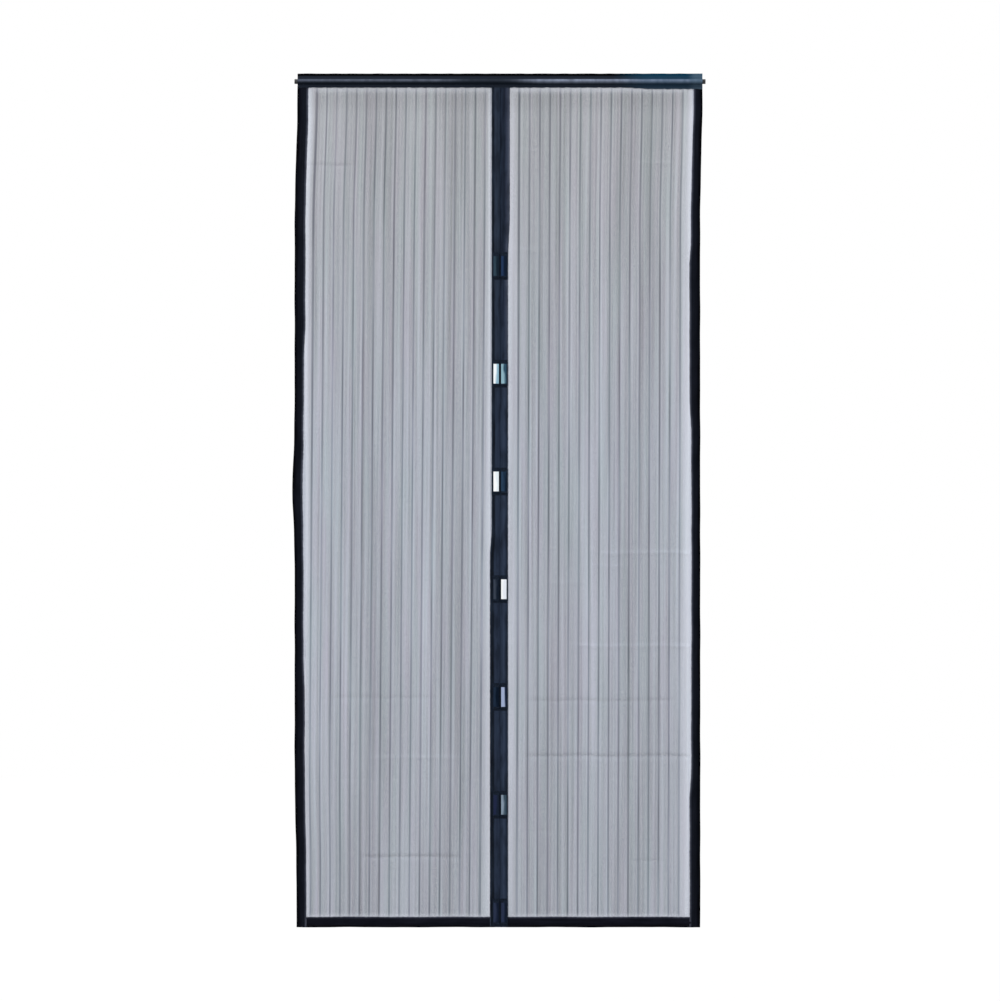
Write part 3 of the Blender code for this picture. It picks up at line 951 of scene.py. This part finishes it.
# the middle tapes are painted bluer, as a sheen
LEFT_SHADES = (
    (0.0, "50565F"), (1.0, "1C2431"), (0.06, "2C323D"),
    (0.14, "02050B"), (0.24, "060A12"), (0.38, "28303E"),
)
LOW_LEFT_SHADES = (
    (0.0, "464D5A"), (1.0, "20293A"), (0.1, "1C232F"),
    (0.22, "03070F"), (0.34, "0A1019"), (0.48, "262F40"),
)
RIGHT_SHADES = (
    (0.0, "565B69"), (1.0, "131A27"), (0.12, "474C5A"),
    (0.36, "2C3243"), (0.5, "171D2A"), (0.8, "151B28"),
)
LOW_RIGHT_SHADES = (
    (0.0, "2A323F"), (1.0, "1F2838"), (0.12, "161E2B"),
    (0.3, "262F40"), (0.5, "2F394C"), (0.75, "252F40"),
)
SIDE_TAPE = (SIDE_HIGH.x - SIDE_LOW.x, SIDE_SHADES, SIDE_SHADES, "191C27", 0.025)
BOTTOM_TAPE = (BOTTOM_HIGH.z - BOTTOM_LOW.z, BOTTOM_SHADES, BOTTOM_SHADES, "20222E", 0.025)
CENTRE_WIDTH = CENTRE_HIGH.x - CENTRE_LOW.x
BOLT_START, BOLT_STEP = 7, 3.7
for number, (kind, finish) in enumerate((
    ("side_{}_left", SIDE_TAPE),
    ("side_{}_right", SIDE_TAPE),
    ("bottom_{}_left", BOTTOM_TAPE),
    ("bottom_{}_right", BOTTOM_TAPE),
    ("centre_{}_left", (CENTRE_WIDTH, LEFT_SHADES, LOW_LEFT_SHADES, "303D50", 0.05)),
    ("centre_{}_right", (CENTRE_WIDTH, RIGHT_SHADES, LOW_RIGHT_SHADES, "303D50", 0.05)),
), start=BOLT_START):
    finish = tape_material(kind.format("tape"), *finish, BOLT_STEP * number)
    wear(tapes[kind.format("binding")], finish)
print("tape ribs", RIB_PITCH / MM, "mm apart")

# %% The sleeve's material
SLEEVE_SHADES = (
    # millimetres above the rod's axis, and colour, with painted shade under the rod
    (-19.0, "2C343C"), (20.0, "000001"), (-16.0, "262E37"), (-13.0, "171D27"), (-3.0, "0D131B"),
    (8.0, "232933"), (12.6, "1D222C"), (14.4, "020306"),
)
ROD_HIGHLIGHT_TOP = 6.6 * MM  # a painted highlight along the top of the rod, which is wider on the right
ROD_HIGHLIGHT_GAP = -0.025  # the painted highlight is weakest here along the rod


def sleeve_material():
    material, tree, shader = new_material("sleeve_tape")
    place = add(tree, "TexCoord").outputs["Object"]
    split = add(tree, "SeparateXYZ", (place,))
    along, height = split.outputs["X"], split.outputs["Z"]
    lowest, highest = SLEEVE_SHADES[0][0], SLEEVE_SHADES[1][0]
    share = add(tree, "MapRange", (height, lowest * MM, highest * MM))
    stops = [((at - lowest) / (highest - lowest), colour) for at, colour in SLEEVE_SHADES]
    # the shades hold painted shade under the rod
    base_tint = add(tree, "ValToRGB", (share,), stops=stops)

    # The painted highlight along the top of the rod: its lower and upper end, and what weakens it
    highlight_low = add(tree, "MapRange", (along, 0.0, 0.1, -4.5 * MM, -8.4 * MM))
    painted_rod_highlight = add(tree, "MapRange", (height, highlight_low, 2.8 * MM))
    painted_rod_highlight = add(tree, "Math", (painted_rod_highlight, 2.0), operation="POWER")
    highlight_end = add(tree, "MapRange", (height, ROD_HIGHLIGHT_TOP, ROD_HIGHLIGHT_TOP - 1.6 * MM))
    from_gap = add(tree, "Math", (along, -ROD_HIGHLIGHT_GAP), operation="ADD")
    from_gap = add(tree, "Math", (from_gap,), operation="ABSOLUTE")
    away = add(tree, "MapRange", (from_gap, 0.05, 0.13, 0.15))
    patches = add(tree, "Mapping", {"Vector": place, "Scale": (60.0, 1.0, 28.0)})
    patches = add(tree, "TexNoise", {"Vector": patches, "Scale": 1.0, "Detail": 3.0})
    uneven = add(tree, "MapRange", (patches, 0.3, 0.6, 0.55))
    strength = add(tree, "MapRange", (along, 0.0, 0.08, 0.36, 0.95))
    before_end = add(tree, "MapRange", (along, 0.462, 0.476, 1.0, 0.45))
    for factor in (highlight_end, away, uneven, strength, before_end):
        painted_rod_highlight = add(tree, "Math", (painted_rod_highlight, factor), **TIMES)
    colour = add(tree, "Mix", {"Factor": painted_rod_highlight, 6: base_tint, 7: "868FA4"}, **RGBA)

    # To the right a painted teal sheen, and a paler painted sheen on the last corner
    upper = add(tree, "MapRange", (height, -6 * MM, 4 * MM, 0.3, 1.0))
    for start, end, most, tint in ((0.27, 0.37, 0.42, "16506E"), (0.460, 0.482, 0.17, "8FA6B8")):
        painted_sheen = (along, start, end, 0.0, most)
        painted_sheen = add(tree, "MapRange", painted_sheen, **SOFT)
        painted_sheen = add(tree, "Math", (painted_sheen, upper), **TIMES)
        colour = add(tree, "Mix", {"Factor": painted_sheen, 6: colour, 7: tint}, **RGBA)
    ribs = {"Vector": add(tree, "UVMap", uv_map="cloth"), "Scale": WAVE_TURN / RIB_PITCH}
    ribs = add(tree, "TexWave", ribs, bands_direction="Y")
    relief = add(tree, "Bump", {"Height": ribs, "Strength": 0.3, "Distance": 0.25 * MM})
    feed(shader, {"Base Color": colour, "Normal": relief, "Roughness": 0.6, SHINE: 0.03})
    return material


wear(sleeve, sleeve_material())

# %% The pockets' material and the thread
pocket_cloth, tree, shader, weave = grained_material("pocket_tape", 420.0, 3.0)
shade = add(tree, "ValToRGB", (weave,), stops=((0.3, "050A13"), (0.75, "1B2738")))
relief = add(tree, "Bump", {"Height": weave, "Strength": 0.3, "Distance": 0.3 * MM})
feed(shader, {"Base Color": shade, "Normal": relief, "Roughness": 0.65, SHINE: 0.08})
for pocket in pockets.values():
    wear(pocket, pocket_cloth)

thread_finish, tree, shader, twist = grained_material("polyester_thread", 900.0, 2.0)
shade = add(tree, "ValToRGB", (twist,), stops=((0.3, "05070D"), (0.7, "1C222E")))
feed(shader, {"Base Color": shade, "Roughness": 0.5, SHINE: 0.15})
for piece in seams.values():
    wear(piece, thread_finish)

# %% [markdown]
# ### Nickel-plated magnets
#
# The bars are pressed ferrite or iron under bright nickel. Nickel mirrors what it faces, and each
# bar sits at its own small angle, so some shine white and some stay dark. A pale studio would make
# them all alike, so each bar's tint is a painted reflection of what it would mirror.

# %% The magnets' materials
MAGNET_LEAN = 1.1  # how much brighter the painted reflection is on a bar's left than on its right


def nickel_material(name, side, dark, bright, roughness):
    """`dark` and `bright` are the painted reflection on the plating, in its darkest and its brightest
    streaks.
    """
    material, tree, shader = new_material(name)
    place = add(tree, "TexCoord").outputs["Object"]
    stretched = add(tree, "Mapping", {"Vector": place, "Scale": (130.0, 130.0, 26.0)})
    streaks = add(tree, "TexNoise", {"Vector": stretched, "Scale": 1.0, "Detail": 1.5})
    middle = -side * (MAGNET_LOW.x + MAGNET_HIGH.x) / 2
    ends = (middle - MAGNET_SIZE.x / 2, middle + MAGNET_SIZE.x / 2)
    across = add(tree, "SeparateXYZ", (place,)).outputs["X"]
    leaning = add(tree, "MapRange", (across, *ends, MAGNET_LEAN / 2, -MAGNET_LEAN / 2))
    mirrored = add(tree, "Math", (streaks, leaning), operation="ADD")
    tint = add(tree, "ValToRGB", (mirrored,), stops=((0.3, dark), (0.7, bright)))
    feed(shader, {"Base Color": tint, "Metallic": 1.0, "Roughness": roughness})
    return material


MAGNET_REFLECTIONS_AND_ROUGHNESS = (
    # painted reflection, darkest and brightest, and roughness of the left bar and of the right bar of
    # each pair, from the top
    (("18242F", "30424F", 0.35), ("141E2E", "243654", 0.35)),
    (("8FB6CA", "F6FCFF", 0.2), ("2E4C60", "90B4C2", 0.25)),
    (("E4EDF3", "FDFEFF", 0.16), ("141F30", "2B4058", 0.35)),
    (("161F2C", "3A4250", 0.4), ("E6EAF2", "FDFEFF", 0.16)),
    (("0E1826", "1F2C3E", 0.4), ("18233A", "A4B2D2", 0.3)),
    (("1C2534", "232A44", 0.4), ("3A4C5A", "8A9BAC", 0.3)),
    (("161E2E", "2C344A", 0.4), ("151D2C", "2A334A", 0.4)),
)
for number, finishes in zip(PAIRS, MAGNET_REFLECTIONS_AND_ROUGHNESS):
    for (side_name, side), finish in zip(SIDES, finishes):
        plating = nickel_material(f"nickel_{side_name}_{number}", side, *finish)
        wear(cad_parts[f"magnet_{side_name}_{number}"], plating)
print(len(MAGNET_REFLECTIONS_AND_ROUGHNESS), "pairs of bars")

# %% Rod and plugs
lacquer, tree, shader, specks = grained_material("black_lacquer", 350.0, 3.0)
dull = add(tree, "MapRange", (specks, 0.0, 1.0, 0.15, 0.38))
feed(shader, {"Base Color": "08090D", "Roughness": dull})
wear(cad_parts["hanging_rod"], lacquer)

plug_plastic, tree, shader, grain = grained_material("moulded_polypropylene", 1500.0, 2.0)
relief = add(tree, "Bump", {"Height": grain, "Strength": 0.2, "Distance": 0.1 * MM})
feed(shader, {"Base Color": "0C0E14", "Normal": relief, "Roughness": 0.45})
for side_name, _side in SIDES:
    wear(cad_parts[f"rod_plug_{side_name}"], plug_plastic)
print(len(bpy.data.materials), "materials")

# %% [markdown]
# ## What each piece stands for
#
# Every new piece rides on the part's one body, and the solid that it replaces is hidden.

# %% Ride and replace
stand_ins = {f"net_{side_name}": nets[side_name] for side_name, _side in SIDES}
stand_ins |= {**tapes, "top_sleeve": sleeve, **pockets}
for node, piece in stand_ins.items():
    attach(piece, "root")
    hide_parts(node)
for piece in seams.values():
    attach(piece, "root")
print(len(stand_ins), "pieces stand for solids, and", len(seams), "are thread")

# %% The pockets and stitching round each panel's magnets
for side_name, _side in SIDES:
    closure = [seams[f"pocket_stitching_{side_name}"]]
    closure += [pockets[f"magnet_pocket_{side_name}_{number}"] for number in PAIRS]

# %% [markdown]
# ## Studio
#
# The world is white to the camera, to reflections and to what is seen through the net, and a
# little dimmer as a light. A wide lamp in front and above gives the folds their shape.

# %% World, floor and lamps
FLOOR_DROP = 0.32
world = bpy.data.worlds.new("studio")
bpy.context.scene.world = world
world.use_nodes = True
tree = world.node_tree
rays = add(tree, "LightPath")
seen = rays.outputs["Is Camera Ray"]
for kind in ("Is Glossy Ray", "Is Transmission Ray"):
    seen = add(tree, "Math", (seen, rays.outputs[kind]), operation="MAXIMUM")
soft = add(tree, "Background", ("F4F6FA", 0.62))
white = add(tree, "Background", ("FFFFFF", 1.0))
feed(tree.nodes["World Output"], {"Surface": add(tree, "MixShader", (seen, soft, white))})

deselect()
bpy.ops.mesh.primitive_plane_add(size=24.0, location=(0.0, 0.0, SCREEN_BOTTOM - FLOOR_DROP))
floor = bpy.context.object
floor.name = "studio_floor"
floor_white, tree, shader = new_material("pale_floor")
feed(shader, {"Base Color": "F7F7F7", "Roughness": 0.9})
camera_ray = add(tree, "LightPath").outputs["Is Camera Ray"]
bright = add(tree, "Emission", ("FFFFFF", 1.08))
share = add(tree, "Math", (camera_ray, 0.85), **TIMES)
mixed = add(tree, "MixShader", (share, shader, bright))
feed(tree.nodes["Material Output"], {"Surface": mixed})
wear(floor, floor_white)


def lamp(name, place, aim, size, power):
    data = bpy.data.lights.new(name, "AREA")
    data.shape = "DISK"
    data.size = size
    data.energy = power
    light = bpy.data.objects.new(name, data)
    light.location = place
    light.rotation_euler = (Vector(aim) - Vector(place)).to_track_quat("-Z", "Y").to_euler()
    bpy.context.scene.collection.objects.link(light)


lamp("key_lamp", (-1.8, -3.6, 2.8), (0.0, 0.0, -0.9), 1.6, 125.0)
lamp("fill_lamp", (3.0, -3.0, -0.4), (0.0, 0.0, -1.0), 2.5, 25.0)

# %% [markdown]
# ## Camera
#
# The photograph was taken straight from the front and from far away. A long lens at 12 m gives the
# same flat view, and the lens is worked out from the millimetres that one pixel covers.

# %% The camera
PIXEL = 2.46 * MM
IMAGE_SIZE = (1000, 1001)
ROD_ROW = 81.6
CAMERA_DISTANCE = 12.0
camera_data = bpy.data.cameras.new("front_camera")
camera_data.sensor_width = 36.0
camera_data.lens = camera_data.sensor_width * CAMERA_DISTANCE / (max(IMAGE_SIZE) * PIXEL)
camera_data.clip_end = 100.0
camera = bpy.data.objects.new("front_camera", camera_data)
camera.location = (0.0, -CAMERA_DISTANCE, (ROD_ROW - IMAGE_SIZE[1] / 2) * PIXEL)
camera.rotation_euler = (math.pi / 2, 0.0, 0.0)
bpy.context.scene.collection.objects.link(camera)
bpy.context.scene.camera = camera
bpy.context.scene.view_settings.view_transform = "Standard"
print("the lens is", round(camera_data.lens, 1), "mm")
